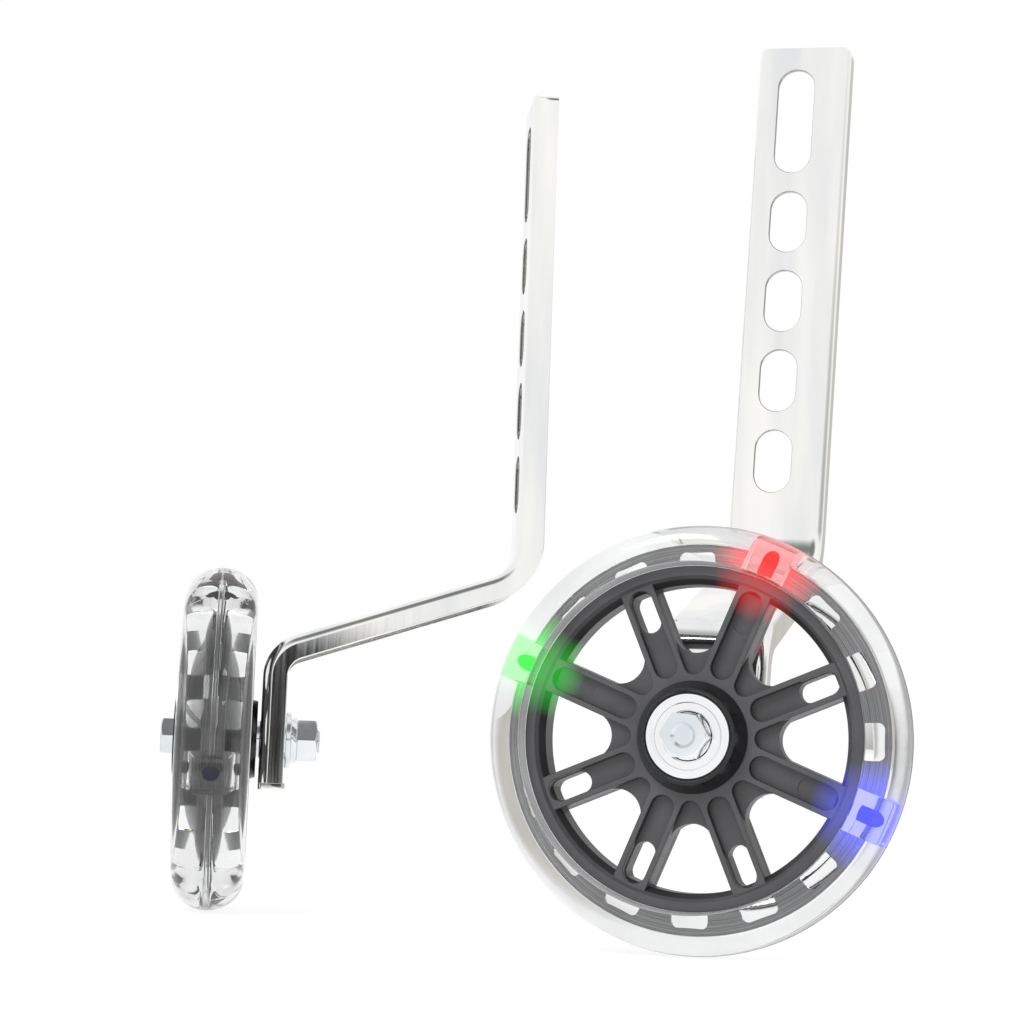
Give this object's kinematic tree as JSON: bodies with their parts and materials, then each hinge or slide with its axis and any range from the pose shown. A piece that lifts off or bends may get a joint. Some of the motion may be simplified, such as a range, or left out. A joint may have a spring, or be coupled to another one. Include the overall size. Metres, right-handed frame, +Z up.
{
  "type": "bicycle training wheels",
  "caption": "Pair of bicycle training wheels: bent slotted steel channel brackets, each with a clear-tyred spoked wheel on ball bearings with coloured lights in its rim.",
  "frame": {"origin": "on the left bracket's outer face, midway between its two upper short slots", "axes": "+Z up along the brackets' straps; -X out of the left bracket towards its wheel; the right unit stands beside it, turned about Z as in the picture"},
  "size_m": [0.2052, 0.2429, 0.2739],
  "materials": {
    "plated_steel": "bright plated",
    "zinc_steel": "bright zinc",
    "bearing_steel": "ground",
    "black_plastic": "moulded satin",
    "clear_urethane": "clear gloss",
    "clear_plastic": "frosted",
    "red_led": "translucent",
    "green_led": "translucent",
    "blue_led": "translucent",
    "magnet": "sintered",
    "coil": "enamelled wire"
  },
  "bodies": {
    "brackets": {"left_bracket": "plated_steel", "left_axle_bolt": "zinc_steel", "left_wheel_spacer": "zinc_steel", "left_channel_bush": "zinc_steel", "left_flat_washer": "zinc_steel", "left_spring_washer": "zinc_steel", "left_axle_nut": "zinc_steel", "left_bearing_sleeve": "zinc_steel", "left_magnet_ring": "magnet", "left_outer_bearing_inner_ring": "bearing_steel", "left_outer_bearing_balls": "bearing_steel", "left_inner_bearing_inner_ring": "bearing_steel", "left_inner_bearing_balls": "bearing_steel", "right_bracket": "plated_steel", "right_axle_bolt": "zinc_steel", "right_wheel_spacer": "zinc_steel", "right_channel_bush": "zinc_steel", "right_flat_washer": "zinc_steel", "right_spring_washer": "zinc_steel", "right_axle_nut": "zinc_steel", "right_bearing_sleeve": "zinc_steel", "right_magnet_ring": "magnet", "right_outer_bearing_inner_ring": "bearing_steel", "right_outer_bearing_balls": "bearing_steel", "right_inner_bearing_inner_ring": "bearing_steel", "right_inner_bearing_balls": "bearing_steel"},
    "left_wheel": {"left_hub": "black_plastic", "left_tyre": "clear_urethane", "left_generator_coil": "coil", "left_outer_bearing_outer_ring": "bearing_steel", "left_inner_bearing_outer_ring": "bearing_steel", "left_red_light_block": "clear_plastic", "left_green_light_block": "clear_plastic", "left_blue_light_block": "clear_plastic", "left_red_led": "red_led", "left_green_led": "green_led", "left_blue_led": "blue_led"},
    "right_wheel": {"right_hub": "black_plastic", "right_tyre": "clear_urethane", "right_generator_coil": "coil", "right_outer_bearing_outer_ring": "bearing_steel", "right_inner_bearing_outer_ring": "bearing_steel", "right_red_light_block": "clear_plastic", "right_green_light_block": "clear_plastic", "right_blue_light_block": "clear_plastic", "right_red_led": "red_led", "right_green_led": "green_led", "right_blue_led": "blue_led"}
  },
  "joints": [
    {"name": "left_wheel_spin", "type": "hinge", "parent": "brackets", "child": "left_wheel", "pos_m": [-0.0953, -0.002, -0.1505], "axis": [-1, 0, 0], "continuous": true},
    {"name": "right_wheel_spin", "type": "hinge", "parent": "brackets", "child": "right_wheel", "pos_m": [0.0297, -0.161, -0.1505], "axis": [-0.3955, -0.9184, 0], "continuous": true}
  ]
}
